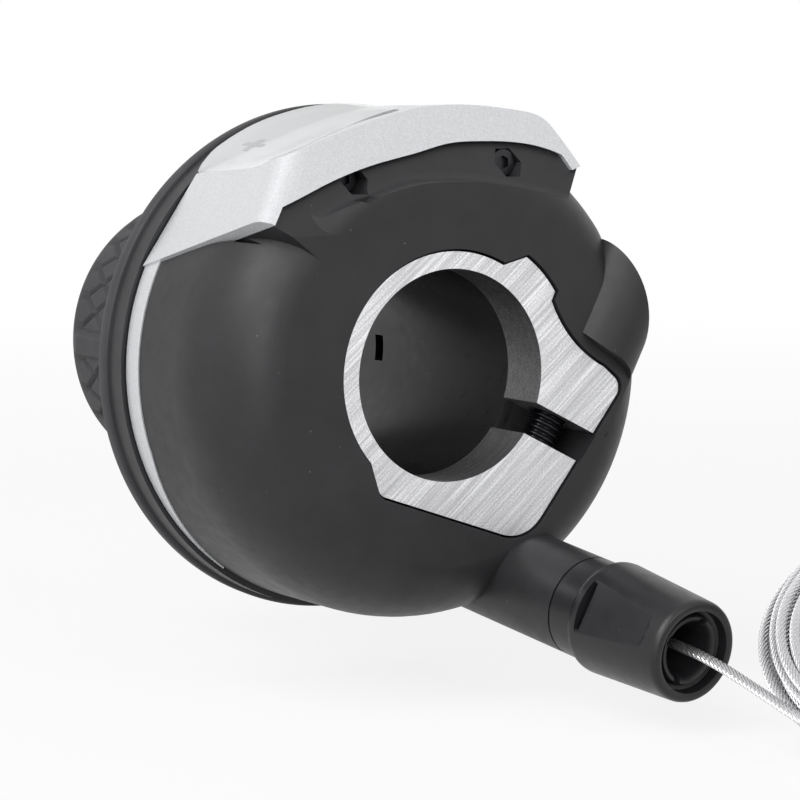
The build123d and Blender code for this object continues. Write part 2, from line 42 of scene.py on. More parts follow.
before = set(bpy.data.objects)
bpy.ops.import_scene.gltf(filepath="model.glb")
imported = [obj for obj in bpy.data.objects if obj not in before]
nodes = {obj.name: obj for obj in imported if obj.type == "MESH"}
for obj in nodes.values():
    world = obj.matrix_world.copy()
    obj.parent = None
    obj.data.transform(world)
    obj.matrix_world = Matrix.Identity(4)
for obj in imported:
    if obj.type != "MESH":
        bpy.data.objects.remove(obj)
cad_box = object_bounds()

MM = 0.001


def on_circle(radius, degrees):
    angle = math.radians(degrees)
    return radius * math.cos(angle), radius * math.sin(angle)


def around(x, radius, degrees):
    """Point at x, at a radius and an angle about the bar, from millimetres."""
    y, z = on_circle(radius, degrees)
    return Vector((x, y, z)) * MM


# Camera

CAMERA_PLACE = Vector((307.49, -189.53, 35.54))
CAMERA_YAW = 30.8
CAMERA_PITCH = 6.02
CAMERA_LENS = 157.5
SENSOR_WIDTH = 36.0


def make_camera():
    yaw = math.radians(CAMERA_YAW)
    pitch = math.radians(CAMERA_PITCH)
    forward = Vector((
        -math.cos(yaw) * math.cos(pitch),
        math.sin(yaw) * math.cos(pitch),
        -math.sin(pitch),
    ))
    data = bpy.data.cameras.new("photo_camera")
    data.sensor_width = SENSOR_WIDTH
    data.lens = CAMERA_LENS
    data.clip_start = 0.01
    data.clip_end = 20.0
    camera = bpy.data.objects.new("photo_camera", data)
    camera.location = CAMERA_PLACE * MM
    camera.rotation_euler = forward.to_track_quat("-Z", "Y").to_euler()
    bpy.context.scene.collection.objects.link(camera)
    bpy.context.scene.camera = camera


# Materials

def new_material(name):
    material = bpy.data.materials.new(name)
    material.use_nodes = True
    tree = material.node_tree
    shader = tree.nodes["Principled BSDF"]
    return material, tree, shader


def add(tree, kind, **values):
    """New node with its input sockets or properties set by name."""
    node = tree.nodes.new(kind)
    for key, value in values.items():
        if key in node.inputs:
            node.inputs[key].default_value = value
        else:
            setattr(node, key, value)
    return node


def coordinates(tree, scale=(1, 1, 1), turn=(0, 0, 0)):
    """Object coordinates, turned and then stretched."""
    source = tree.nodes.new("ShaderNodeTexCoord")
    mapping = tree.nodes.new("ShaderNodeMapping")
    mapping.vector_type = "TEXTURE"
    mapping.inputs["Rotation"].default_value = [math.radians(value) for value in turn]
    mapping.inputs["Scale"].default_value = [1 / value for value in scale]
    tree.links.new(source.outputs["Object"], mapping.inputs["Vector"])
    return mapping.outputs["Vector"]


def noise(tree, vector, scale, detail=2.0, roughness=0.5):
    node = add(tree, "ShaderNodeTexNoise", Scale=scale, Detail=detail, Roughness=roughness)
    tree.links.new(vector, node.inputs["Vector"])
    return node.outputs["Fac"]


def ramp(tree, value, stops):
    """Colour ramp with stops given as (position, grey or colour)."""
    node = tree.nodes.new("ShaderNodeValToRGB")
    elements = node.color_ramp.elements
    while len(elements) < len(stops):
        elements.new(0.5)
    for element, (position, colour) in zip(elements, stops):
        if not isinstance(colour, (tuple, list)):
            colour = (colour, colour, colour)
        element.position = position
        element.color = (*colour, 1.0)
    tree.links.new(value, node.inputs["Fac"])
    return node.outputs["Color"]


def spread(tree, value, low, high):
    """Value from 0 to 1 spread between two numbers."""
    node = add(tree, "ShaderNodeMapRange")
    node.inputs["From Min"].default_value = 0.25
    node.inputs["From Max"].default_value = 0.75
    node.inputs["To Min"].default_value = low
    node.inputs["To Max"].default_value = high
    tree.links.new(value, node.inputs["Value"])
    return node.outputs["Result"]


def bump(tree, shader, height, distance):
    node = add(tree, "ShaderNodeBump", Strength=1.0, Distance=distance)
    tree.links.new(height, node.inputs["Height"])
    tree.links.new(node.outputs["Normal"], shader.inputs["Normal"])


def tint(colour, factor):
    """Colour made lighter or darker by a factor."""
    return tuple(min(1.0, channel * factor) for channel in colour)


CLOUD_SCALE = 160
SPECK_SCALE = 330.0
SPECK_SIZE = 0.045
GLOSS_SCALE = 700


def plastic(name, colour, rough, grain=4500, depth=0.012, variation=0.18, specks=0.0,
            gloss_level=0.32):
    """Moulded plastic: fine grain, cloudy colour and a few pale specks of dust."""
    material, tree, shader = new_material(name)
    place = coordinates(tree)
    cloud = noise(tree, place, CLOUD_SCALE, 4.0, 0.6)
    base = ramp(tree, cloud, [(0.3, tint(colour, 1 - variation)),
                              (0.7, tint(colour, 1 + variation))])
    if specks > 0:
        dots = add(tree, "ShaderNodeTexVoronoi", Scale=SPECK_SCALE, Randomness=1.0)
        tree.links.new(place, dots.inputs["Vector"])
        mask = ramp(tree, dots.outputs["Distance"], [(0.0, 1.0), (SPECK_SIZE, 0.0)])
        mix = add(tree, "ShaderNodeMix", data_type="RGBA")
        tree.links.new(mask, mix.inputs[0])
        tree.links.new(base, mix.inputs[6])
        mix.inputs[7].default_value = (*tint(colour, 1 + specks), 1.0)
        base = mix.outputs[2]
    tree.links.new(base, shader.inputs["Base Color"])
    gloss = noise(tree, place, GLOSS_SCALE, 3.0)
    tree.links.new(spread(tree, gloss, rough - 0.04, rough + 0.05), shader.inputs["Roughness"])
    shader.inputs["Specular IOR Level"].default_value = gloss_level
    bump(tree, shader, noise(tree, place, grain, 2.0), depth * MM)
    return material


def paint(name, colour, rough, flake):
    """Silver paint: metal flakes that vary in brightness, under a thin clear coat."""
    material, tree, shader = new_material(name)
    place = coordinates(tree)
    flakes = add(tree, "ShaderNodeTexVoronoi", Scale=flake)
    tree.links.new(place, flakes.inputs["Vector"])
    spots = tree.nodes.new("ShaderNodeSeparateColor")
    tree.links.new(flakes.outputs["Color"], spots.inputs["Color"])
    base = ramp(tree, spots.outputs["Red"], [(0.0, tint(colour, 0.90)), (1.0, tint(colour, 1.08))])
    tree.links.new(base, shader.inputs["Base Color"])
    tree.links.new(spread(tree, spots.outputs["Green"], rough - 0.05, rough + 0.06),
                   shader.inputs["Roughness"])
    shader.inputs["Metallic"].default_value = 0.6
    shader.inputs["Coat Weight"].default_value = 0.25
    shader.inputs["Coat Roughness"].default_value = 0.25
    bump(tree, shader, spots.outputs["Blue"], 0.006 * MM)
    return material


METAL_CONTRAST = 0.15


def metal(name, colour, rough, scale=1500, depth=0.006):
    """Metal with a fine, even grain."""
    material, tree, shader = new_material(name)
    place = coordinates(tree)
    lines = noise(tree, place, scale, 3.0, 0.6)
    base = ramp(tree, lines, [(0.3, tint(colour, 1 - METAL_CONTRAST)),
                              (0.65, tint(colour, 1 + METAL_CONTRAST / 2))])
    tree.links.new(base, shader.inputs["Base Color"])
    tree.links.new(spread(tree, lines, rough + 0.07, rough - 0.05), shader.inputs["Roughness"])
    shader.inputs["Metallic"].default_value = 1.0
    bump(tree, shader, lines, depth * MM)
    return material


SAW_FINE = 5200
SAW_BROAD = 1300
SAW_STRETCH = 0.02


def sawn(name, colour, rough, turn):
    """Sawn aluminium: fine lines of uneven width along one direction, and a mottled ground."""
    material, tree, shader = new_material(name)
    place = coordinates(tree, (1, SAW_STRETCH, 1), (turn, 0, 0))
    fine = noise(tree, place, SAW_FINE, 2.0, 0.7)
    broad = noise(tree, place, SAW_BROAD, 2.0, 0.6)
    ground = noise(tree, coordinates(tree), SAW_FINE, 2.0, 0.7)
    lines = add(tree, "ShaderNodeMix", data_type="FLOAT")
    lines.inputs[0].default_value = 0.45
    tree.links.new(fine, lines.inputs[2])
    tree.links.new(broad, lines.inputs[3])
    both = add(tree, "ShaderNodeMix", data_type="FLOAT")
    both.inputs[0].default_value = 0.35
    tree.links.new(lines.outputs[0], both.inputs[2])
    tree.links.new(ground, both.inputs[3])
    base = ramp(tree, both.outputs[0], [(0.36, tint(colour, 0.62)), (0.50, tint(colour, 0.92)),
                                        (0.60, tint(colour, 1.3))])
    tree.links.new(base, shader.inputs["Base Color"])
    tree.links.new(spread(tree, both.outputs[0], rough + 0.12, rough - 0.08),
                   shader.inputs["Roughness"])
    shader.inputs["Metallic"].default_value = 1.0
    bump(tree, shader, both.outputs[0], 0.012 * MM)
    return material


def clear(name):
    """Clear moulded window, faintly grey, made more opaque where it is seen at a low angle, so its pale
    grey shows there as a painted reflection.
    """
    material, tree, shader = new_material(name)
    place = coordinates(tree)
    shader.inputs["Base Color"].default_value = (0.74, 0.75, 0.76, 1.0)
    # Opacity that rises towards grazing views: the pale grey base showing there is a painted reflection
    # of the bright surroundings.
    edge = tree.nodes.new("ShaderNodeLayerWeight")
    edge.inputs["Blend"].default_value = 0.5
    tree.links.new(ramp(tree, edge.outputs["Facing"], [(0.1, 0.18), (0.7, 0.72)]),
                   shader.inputs["Alpha"])
    haze = noise(tree, place, 500, 3.0)
    tree.links.new(spread(tree, haze, 0.08, 0.16), shader.inputs["Roughness"])
    shader.inputs["IOR"].default_value = 1.49
    shader.inputs["Specular IOR Level"].default_value = 0.8
    return material


def dress(node, material):
    """Puts one material on a CAD node."""
    mesh = nodes[node].data
    mesh.materials.clear()
    mesh.materials.append(material)


BLACK = (0.018, 0.018, 0.0195)
materials = {
    "housing": plastic("housing_plastic", BLACK, 0.46, specks=5.0),
    "clamp": sawn("sawn_aluminium", (0.72, 0.72, 0.735), 0.34, 41),
    "bright": metal("zinc_plate", (0.62, 0.62, 0.63), 0.28),
    "oxide": metal("black_oxide", (0.045, 0.045, 0.05), 0.34),
    "silver": paint("silver_paint", (0.60, 0.61, 0.625), 0.41, flake=8500),
    "lens": clear("clear_window"),
    "scale": plastic("scale_plate", (0.72, 0.73, 0.74), 0.45, depth=0.004, variation=0.04),
    "ink": plastic("grey_ink", (0.22, 0.22, 0.23), 0.5, depth=0.002, variation=0.05),
    "print": plastic("pale_print", (0.42, 0.42, 0.44), 0.4, depth=0.002, variation=0.05),
    "pointer": plastic("orange_pointer", (0.78, 0.20, 0.03), 0.4, depth=0.003, variation=0.08),
    "sleeve": plastic("sleeve_acetal", (0.012, 0.012, 0.013), 0.30, grain=3000, depth=0.004,
                      gloss_level=0.4),
    "core": plastic("core_plastic", (0.020, 0.020, 0.022), 0.42, specks=3.0),
    "rubber": plastic("grip_rubber", (0.030, 0.030, 0.033), 0.55, grain=6000, depth=0.01),
    "acetal": plastic("natural_acetal", (0.72, 0.71, 0.68), 0.4, depth=0.004, variation=0.05),
    "barrel": plastic("barrel_plastic", (0.012, 0.012, 0.0135), 0.36, depth=0.01, specks=4.0,
                      gloss_level=0.36),
    "zinc": metal("cast_zinc", (0.50, 0.51, 0.52), 0.45, scale=2500, depth=0.015),
    "cable": metal("steel_wire", (0.64, 0.64, 0.65), 0.38, scale=3000),
}
dressing = {
    "housing": "housing", "clamp": "clamp", "clamp_screw": "oxide", "top_cover": "silver",
    "window_lens": "lens", "gear_scale": "scale", "cover_screws": "oxide",
    "bar_sleeve": "sleeve", "retaining_clip": "bright", "detent_spring": "bright",
    "cable_guide": "bright", "inner_cable": "cable", "grip_core": "core",
    "rubber_grip": "rubber", "detent_ring": "acetal", "indicator": "pointer",
    "spool_cable": "cable", "cable_head": "zinc", "barrel_core": "barrel",
    "barrel_sleeve": "barrel", "barrel_spring": "bright", "cable_lead": "cable",
    "cable_coil": "cable",
}
for node, finish in dressing.items():
    dress(node, materials[finish])


# Pieces

def new_mesh(name, vertices, faces, material, smooth=True):
    mesh = bpy.data.meshes.new(name)
    mesh.from_pydata([tuple(vertex) for vertex in vertices], [], faces)
    mesh.update()
    mesh.materials.append(material)
    if smooth:
        mesh.polygons.foreach_set("use_smooth", [True] * len(mesh.polygons))
    piece = bpy.data.objects.new(name, mesh)
    bpy.context.scene.collection.objects.link(piece)
    return piece


# Cable: straight out of the barrel, then wound into a ring

CABLE_RADIUS = 0.55
BARREL_MOUTH = Vector((25.0, 13.3, -26.5))
BARREL_DIRECTION = Vector((1.0, 0.106, -0.147)).normalized()
SOCKET_DEPTH = 8.0
COIL_CENTRE = Vector((46.7, 35.4, -22.4))
COIL_NORMAL = Vector((0.275, -0.348, 0.896)).normalized()
COIL_RADIUS = 22.0
COIL_TURNS = 12.2
POINTS_PER_TURN = 16
TURN_SPACING = 1.12


def bundle_offset(turns_left):
    """Place of the wire inside the bundle: a tight spiral walked one wire per turn."""
    arc = turns_left * TURN_SPACING
    phase = math.sqrt(max(arc, 0.0) * 4 * math.pi / TURN_SPACING)
    radius = TURN_SPACING * phase / (2 * math.pi)
    return radius * math.cos(phase + 0.4), radius * math.sin(phase + 0.4)


def coil_point(toward, across, angle, outwards, upwards):
    spoke = toward * math.cos(angle) + across * math.sin(angle)
    return COIL_CENTRE + spoke * (COIL_RADIUS + outwards) + COIL_NORMAL * upwards


def cable_route():
    """Control points of the cable, in millimetres."""
    start = BARREL_MOUTH - BARREL_DIRECTION * SOCKET_DEPTH
    away = start - COIL_CENTRE
    flat = away - COIL_NORMAL * away.dot(COIL_NORMAL)
    first_out, first_up = bundle_offset(COIL_TURNS)
    turn = math.acos((COIL_RADIUS + first_out) / flat.length)
    toward = flat.normalized()
    across = COIL_NORMAL.cross(toward)
    shrink = 1 / math.cos(math.pi / POINTS_PER_TURN * 0.8)
    points = [start, start + BARREL_DIRECTION * 5, start + BARREL_DIRECTION * 10]
    touch = coil_point(toward, across, turn, first_out, first_up)
    run = touch - points[-1]
    points.append(points[-1] + run * 0.45)
    total = round(COIL_TURNS * POINTS_PER_TURN)
    for index in range(total + 1):
        done = index / POINTS_PER_TURN
        outwards, upwards = bundle_offset(COIL_TURNS - done)
        angle = turn + done * 2 * math.pi
        loose = 0.22 * math.sin(angle * 2 + done * 1.7) * min(done, 1.0)
        outwards = (COIL_RADIUS + outwards + loose) * shrink - COIL_RADIUS
        points.append(coil_point(toward, across, angle, outwards, upwards + loose * 0.4))
    return points


def follow_nurbs(points, resolution):
    """Smooth line through the middle of a NURBS spline with these control points."""
    curve = bpy.data.curves.new("route", "CURVE")
    curve.dimensions = "3D"
    spline = curve.splines.new("NURBS")
    spline.points.add(len(points) - 1)
    for point, place in zip(spline.points, points):
        point.co = (*(place * MM), 1.0)
    spline.order_u = 3
    spline.use_endpoint_u = True
    spline.resolution_u = resolution
    holder = bpy.data.objects.new("route", curve)
    bpy.context.scene.collection.objects.link(holder)
    bpy.context.view_layer.update()
    mesh = bpy.data.meshes.new_from_object(holder)
    line = [vertex.co.copy() for vertex in mesh.vertices]
    bpy.data.objects.remove(holder)
    return line


def evenly(line, step):
    """Points at equal steps along a line."""
    result = [line[0]]
    carried = 0.0
    for before, after in zip(line, line[1:]):
        length = (after - before).length
        while length > 0 and carried + length >= step:
            share = (step - carried) / length
            before = before.lerp(after, share)
            result.append(before.copy())
            length = (after - before).length
            carried = 0.0
        carried += length
    return result


WIRES = 12
LAY = 9.0
WIRE_GROOVE = 0.085


def make_cable():
    """Stranded steel wire: each ring turns by one wire, so the faces follow the wires."""
    line = follow_nurbs(cable_route(), 16)
    centres = evenly(line, LAY / WIRES * MM)
    count = WIRES * 2
    side = BARREL_DIRECTION.cross(Vector((0, 0, 1))).normalized()
    vertices = []
    for index, centre in enumerate(centres):
        before = centres[max(index - 1, 0)]
        after = centres[min(index + 1, len(centres) - 1)]
        tangent = (after - before).normalized()
        side = (side - tangent * side.dot(tangent)).normalized()
        up = tangent.cross(side)
        for corner in range(count):
            radius = CABLE_RADIUS if corner % 2 == 0 else CABLE_RADIUS - WIRE_GROOVE
            angle = 2 * math.pi * (corner + 2 * index) / count
            spoke = side * math.cos(angle) + up * math.sin(angle)
            vertices.append(centre + spoke * radius * MM)
    faces = []
    for ring in range(len(centres) - 1):
        for corner in range(count):
            following = (corner + 1) % count
            faces.append((
                ring * count + corner, ring * count + following,
                (ring + 1) * count + following, (ring + 1) * count + corner,
            ))
    last = (len(centres) - 1) * count
    faces.append(tuple(reversed(range(count))))
    faces.append(tuple(range(last, last + count)))
    piece = new_mesh("free_cable", vertices, faces, materials["cable"], smooth=False)
    length = sum((b - a).length for a, b in zip(line, line[1:]))
    print("cable length", round(length, 3))
    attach(piece, "base")
    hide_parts("cable_lead", "cable_coil")


# Rubber grip with a diamond tread

GRIP_END_X = -58.5
GRIP_RADIUS = 16.0
HUB_RADIUS = 14.3
END_RADIUS = 12.4
LIP_FRONT_X = -24.7
TREAD_START = -55.6
TREAD_END = -31.0
TREAD_RINGS = 130
TREAD_GROOVES = 28
GROOVE_SLOPE = 0.62
GROOVE_WIDTH = 0.36
GROOVE_DEPTH = 0.42
RIB_COUNT = 6
RIB_TURN = 1.0
RIB_HALF_WIDTH = 1.25
RIB_HEIGHT = 0.5
RIB_MARGIN = 1.7
RIB_MARGIN_DEPTH = 0.15
GRIP_SEGMENTS = 448


def arc(centre_x, centre_r, radius, start, end, steps):
    """Points (x, r) along an arc, from one angle to another in degrees."""
    points = []
    for index in range(steps + 1):
        angle = math.radians(start + (end - start) * index / steps)
        points.append((centre_x + radius * math.cos(angle), centre_r + radius * math.sin(angle)))
    return points


def grip_profile():
    wall_x = GRIP_END_X + 0.8
    points = [(LIP_FRONT_X, HUB_RADIUS), (wall_x, HUB_RADIUS), (wall_x, END_RADIUS),
              (GRIP_END_X, END_RADIUS), (GRIP_END_X, 14.2)]
    points += arc(-56.9, 14.4, 1.6, 180, 90, 6)
    for index in range(TREAD_RINGS + 1):
        points.append((TREAD_START + (TREAD_END - TREAD_START) * index / TREAD_RINGS, GRIP_RADIUS))
    points += [(-30.1, 16.12), (-29.3, 16.5), (-28.6, 17.1), (-28.0, 17.9), (-27.6, 18.8),
               (-27.4, 19.6), (-27.3, 22.0), (-27.15, 25.0), (-27.05, 26.4)]
    points += arc(-26.4, 26.9, 0.7, 205, 95, 5)
    points += arc(-25.3, 27.3, 0.35, 80, 0, 4)
    points += [(-24.95, 26.85), (LIP_FRONT_X, 26.8)]
    return points


def groove(position, pitch, width):
    """Depth share of a run of grooves, 1 in the middle of one and 0 between them."""
    away = abs((position / pitch) % 1.0 - 0.5) * pitch
    away = pitch / 2 - away
    return max(0.0, 1.0 - (away / width) ** 2) if away < width else 0.0


def tread_height(x, degrees):
    """Height of the rubber over the plain round, at x and at an angle about the bar."""
    sector = 360 / RIB_COUNT
    turn = (degrees - RIB_TURN + sector / 2) % sector - sector / 2
    from_rib = abs(turn / 180 * math.pi * GRIP_RADIUS)
    along = min(x - (GRIP_END_X + 2.4), -30.2 - x)
    if along < 0:
        return 0.0
    if from_rib < RIB_HALF_WIDTH:
        edge = min(1.0, (RIB_HALF_WIDTH - from_rib) / 0.3, along / 0.4)
        return RIB_HEIGHT * edge
    if from_rib < RIB_MARGIN:
        return -RIB_MARGIN_DEPTH
    arc_length = math.radians(degrees) * GRIP_RADIUS
    pitch = 2.0 * math.pi * GRIP_RADIUS / TREAD_GROOVES
    one = groove(arc_length + x * GROOVE_SLOPE, pitch, GROOVE_WIDTH)
    other = groove(arc_length - x * GROOVE_SLOPE, pitch, GROOVE_WIDTH)
    return -GROOVE_DEPTH * max(one, other) * min(1.0, along)


def make_grip():
    profile = grip_profile()
    segments = GRIP_SEGMENTS
    vertices = []
    for x, radius in profile:
        for index in range(segments):
            degrees = 360 * index / segments
            height = 0.0
            if -56.5 < x < -30 and radius > 15.9:
                height = tread_height(x, degrees)
            vertices.append(around(x, radius + height, degrees))
    faces = []
    rings = len(profile)
    for ring in range(rings):
        onward = (ring + 1) % rings
        for index in range(segments):
            following = (index + 1) % segments
            faces.append((
                ring * segments + index, onward * segments + index,
                onward * segments + following, ring * segments + following,
            ))
    piece = new_mesh("grip_skin", vertices, faces, materials["rubber"])
    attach(piece, "grip")
    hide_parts("rubber_grip")


# Clamp screw with its thread

SCREW_CENTRE = Vector((-3.6, *on_circle(15.2, -27.0)))
SCREW_DIRECTION = Vector((0, *on_circle(1.0, 63.0)))
SCREW_RADIUS = 2.0
SCREW_TIP = -11.0
SCREW_SEAT = 8.6
SCREW_HEAD_RADIUS = 3.5
SCREW_HEAD_HEIGHT = 4.0
SCREW_SOCKET = 3.0
SCREW_PITCH = 0.7
SCREW_DEPTH = 0.36
SCREW_STEPS = 10


def about_axis(origin, axis):
    """Function that places (distance, radius, angle) about an axis, from millimetres."""
    side = axis.cross(Vector((1, 0, 0)) if abs(axis.x) < 0.9 else Vector((0, 0, 1))).normalized()
    up = axis.cross(side)

    def place(distance, radius, angle):
        spoke = side * math.cos(angle) + up * math.sin(angle)
        return (origin + axis * distance + spoke * radius) * MM
    return place


def revolved(name, place, rings, segments, material, closed=True):
    """Skin through rings, each a function of the angle or a pair (distance, radius)."""
    vertices = []
    for ring in rings:
        for index in range(segments):
            angle = 2 * math.pi * index / segments
            distance, radius = ring(angle) if callable(ring) else ring
            vertices.append(place(distance, radius, angle))
    faces = []
    count = len(rings)
    for ring in range(count if closed else count - 1):
        onward = (ring + 1) % count
        for index in range(segments):
            following = (index + 1) % segments
            faces.append((
                ring * segments + index, ring * segments + following,
                onward * segments + following, onward * segments + index,
            ))
    if not closed:
        faces.append(tuple(reversed(range(segments))))
        faces.append(tuple(range((count - 1) * segments, count * segments)))
    piece = new_mesh(name, vertices, faces, material)
    tidy_normals(piece)
    return piece


def tidy_normals(piece, angle=35):
    """Faces point outwards, and only edges sharper than the angle stay sharp."""
    mesh = bmesh.new()
    mesh.from_mesh(piece.data)
    bmesh.ops.recalc_face_normals(mesh, faces=mesh.faces)
    for edge in mesh.edges:
        if len(edge.link_faces) == 2:
            edge.smooth = edge.calc_face_angle(0.0) < math.radians(angle)
    mesh.to_mesh(piece.data)
    mesh.free()


def make_screw():
    thread_end = SCREW_SEAT - 1.5

    def thread_ring(distance):
        def ring(angle):
            phase = (distance / SCREW_PITCH + angle / (2 * math.pi)) % 1.0
            tooth = 1 - abs(2 * phase - 1)
            taper = min(1.0, (distance - SCREW_TIP) / 0.7, (thread_end - distance) / 0.5)
            tooth = max(0.0, min(1.0, tooth * 1.35 - 0.15))
            height = SCREW_DEPTH * tooth * max(0.0, taper)
            return distance, SCREW_RADIUS - SCREW_DEPTH + height
        return ring

    rings = [(SCREW_TIP - 0.01, 1.2)]
    total = round((thread_end - SCREW_TIP) / SCREW_PITCH * SCREW_STEPS)
    for index in range(total + 1):
        rings.append(thread_ring(SCREW_TIP + (thread_end - SCREW_TIP) * index / total))
    top = SCREW_SEAT + SCREW_HEAD_HEIGHT
    rings += [(thread_end + 0.1, SCREW_RADIUS), (SCREW_SEAT, SCREW_RADIUS),
              (SCREW_SEAT, SCREW_HEAD_RADIUS - 0.15), (SCREW_SEAT + 0.15, SCREW_HEAD_RADIUS),
              (top - 0.4, SCREW_HEAD_RADIUS), (top - 0.1, SCREW_HEAD_RADIUS - 0.25),
              (top, SCREW_HEAD_RADIUS - 0.5)]

    def hexagon(distance, across_flats):
        def ring(angle):
            turned_angle = (angle + math.pi / 6) % (math.pi / 3) - math.pi / 6
            return distance, across_flats / 2 / math.cos(turned_angle)
        return ring

    rings += [(top, 1.95), hexagon(top - 0.15, SCREW_SOCKET), hexagon(top - 2.1, SCREW_SOCKET),
              (top - 2.3, 0.8)]
    place = about_axis(SCREW_CENTRE, SCREW_DIRECTION)
    piece = revolved("clamp_bolt", place, rings, 48, materials["oxide"], closed=False)
    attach(piece, "base")
    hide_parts("clamp_screw")


# Barrel adjuster

BARREL_LENGTH = 16.9
SLEEVE_LINE = [(0.15, 5.25), (0.25, 5.35), (3.6, 5.35), (3.7, 5.7), (4.0, 5.95), (4.5, 6.0),
               (16.3, 5.36), (16.62, 5.26), (16.8, 5.14), (16.9, 4.96)]
PANEL_TURNS = (36.0, 156.0, 276.0)
PANEL_DISTANCE = 5.2
PANEL_START = 5.0
PANEL_END = 13.7
PANEL_REACH = 40
SLOT_WIDTH = 0.5
SLOT_REACH = 26
SLOT_RADIUS = 4.72
SLEEVE_SEGMENTS = 320
CORE_SEGMENTS = 180


def between(line, at):
    """Value of a broken line of (place, value) points."""
    for (a, low), (b, high) in zip(line, line[1:]):
        if at <= b:
            return low + (high - low) * max(0.0, at - a) / (b - a)
    return line[-1][1]


def smooth(value):
    value = min(1.0, max(0.0, value))
    return value * value * (3 - 2 * value)


def sleeve_radius(distance, degrees):
    """Outside of the adjuster's sleeve, with its flat panels and their slots."""
    base = between(SLEEVE_LINE, distance)
    radius = base
    for turn in PANEL_TURNS:
        away = (degrees - turn + 180) % 360 - 180
        if abs(away) > PANEL_REACH:
            continue
        flat = PANEL_DISTANCE / math.cos(math.radians(away))
        end = PANEL_END + 0.9 * math.cos(math.radians(away * 3.2))
        share = smooth((distance - end) / 0.3)
        cut = flat * (1 - share) + (base + 0.02) * share
        if distance > PANEL_START:
            radius = min(radius, cut)
        in_slot = PANEL_START < distance < PANEL_START + SLOT_WIDTH
        if in_slot and abs(away) < SLOT_REACH:
            radius = SLOT_RADIUS
    return radius


def make_barrel():
    origin = BARREL_MOUTH - BARREL_DIRECTION * BARREL_LENGTH
    side = (Vector((0, 1, 0)) - BARREL_DIRECTION * BARREL_DIRECTION.y).normalized()
    up = BARREL_DIRECTION.cross(side)

    def place(distance, radius, angle):
        spoke = side * math.cos(angle) + up * math.sin(angle)
        return (origin + BARREL_DIRECTION * distance + spoke * radius) * MM

    def outer_ring(distance):
        return lambda angle: (distance, sleeve_radius(distance, math.degrees(angle)))

    slot_end = PANEL_START + SLOT_WIDTH
    steps = [0.15, 0.25, 0.35, 1.2, 2.4, 3.5, 3.6, 3.66, 3.72, 3.84, 3.96, 4.1, 4.3, 4.5, 4.7, 4.85]
    steps += [PANEL_START - 0.01, PANEL_START + 0.01, slot_end - 0.01, slot_end + 0.01]
    steps += [slot_end + 0.13 + 0.13 * index for index in range(81)]
    steps += [16.2, 16.35, 16.5, 16.62, 16.75, 16.83, 16.9]
    rings = [outer_ring(distance) for distance in steps]
    rings += [(16.9, 4.45), (16.8, 4.3), (15.7, 4.2), (15.5, 3.74), (4.2, 3.74), (4.2, 4.6),
              (0.15, 4.6)]
    sleeve = revolved("adjuster_sleeve", place, rings, SLEEVE_SEGMENTS, materials["barrel"])
    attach(sleeve, "barrel")
    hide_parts("barrel_sleeve")

    def socket_ring(distance, radius, notch):
        def ring(angle):
            away = (math.degrees(angle) - 20) % 90 - 45
            open_share = 1 - smooth((abs(away) - 6) / 4)
            return distance, radius + notch * open_share
        return ring

    core_rings = [(-9, 0.9), (-9, 2.7), (-8.7, 3.0), (0.5, 3.0), (0.5, 3.66), (15.9, 3.66), (16.15, 3.5),
                  socket_ring(16.2, 3.2, 0.24), socket_ring(16.0, 3.0, 0.4),
                  socket_ring(15.2, 2.75, 0.55), socket_ring(13.0, 2.68, 0.6),
                  (12.9, 2.65), (9.1, 2.6), (8.9, 2.4), (8.9, 0.9)]
    core = revolved("adjuster_core", place, core_rings, CORE_SEGMENTS, materials["barrel"])
    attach(core, "barrel")
    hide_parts("barrel_core")


# Marks on the gear scale

WINDOW_TILT = 18.7
SCALE_TOP = 23.9
MARK_HEIGHT = 0.06


def on_scale(x, across):
    """Point on the scale's face, from x along the bar and the place across the window."""
    normal = Vector((0, *on_circle(1.0, 90 + WINDOW_TILT)))
    along = Vector((0, *on_circle(1.0, WINDOW_TILT)))
    return normal * SCALE_TOP + along * across + Vector((x, 0, 0)), normal


def plate(outline):
    """Thin raised mark with this outline of (x, across) points."""
    count = len(outline)
    vertices = []
    for height in (0.0, MARK_HEIGHT):
        for x, across in outline:
            point, normal = on_scale(x, across)
            vertices.append((point + normal * height) * MM)
    faces = [tuple(reversed(range(count))), tuple(range(count, 2 * count))]
    for index in range(count):
        following = (index + 1) % count
        faces.append((index, following, count + following, count + index))
    return vertices, faces


def bar(x, across, long_x, long_across):
    return [(x - long_x / 2, across - long_across / 2), (x + long_x / 2, across - long_across / 2),
            (x + long_x / 2, across + long_across / 2), (x - long_x / 2, across + long_across / 2)]


def make_marks():
    """Plus and minus at the ends of the scale, and a tick for each gear."""
    vertices = []
    faces = []
    plus_x, plus_across = -18.6, -6.0
    arm, width = 1.25, 0.42
    plus = [(-width, -arm), (width, -arm), (width, -width), (arm, -width), (arm, width),
            (width, width), (width, arm), (-width, arm), (-width, width), (-arm, width),
            (-arm, -width), (-width, -width)]
    outlines = [[(plus_x + x, plus_across + y) for x, y in plus], bar(plus_x, 6.6, 0.8, 2.4)]
    for turn in range(3):
        outlines.append(bar(-17.6, -4.4 + 4.3 * (turn + 0.6), 1.4, 0.35))
    for outline in outlines:
        more, sides = plate(outline)
        faces += [tuple(index + len(vertices) for index in face) for face in sides]
        vertices += more
    piece = new_mesh("scale_marks", vertices, faces, materials["ink"], smooth=False)
    tidy_normals(piece)
    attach(piece, "base")


# Window: clear skin from the cover's front edge up to the grip's flange

